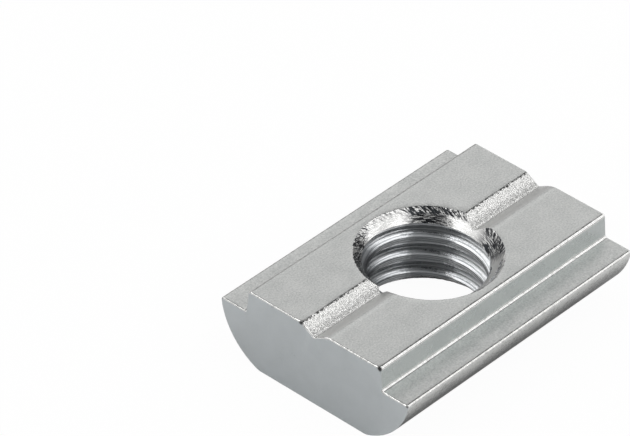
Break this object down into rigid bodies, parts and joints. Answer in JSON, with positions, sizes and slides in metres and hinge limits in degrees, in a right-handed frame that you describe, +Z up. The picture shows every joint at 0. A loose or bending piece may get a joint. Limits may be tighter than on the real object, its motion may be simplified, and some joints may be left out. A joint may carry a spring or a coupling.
{
  "type": "t slot nut",
  "caption": "Rectangular T slot nut with a stepped neck, round flanks, a V groove along its top and a countersunk threaded hole through the middle.",
  "frame": {"origin": "on the flat base, under the thread's axis, in the middle of the nut", "axes": "+X along the slot the nut slides in, +Y across the slot, +Z up along the thread, out of the neck"},
  "size_m": [0.0186, 0.0134, 0.005],
  "materials": {
    "zinc_steel": "bright zinc plated steel, satin on the drawn faces, shiny in the cut thread and countersinks"
  },
  "bodies": {
    "root": {"t_slot_nut": "zinc_steel"}
  },
  "joints": []
}
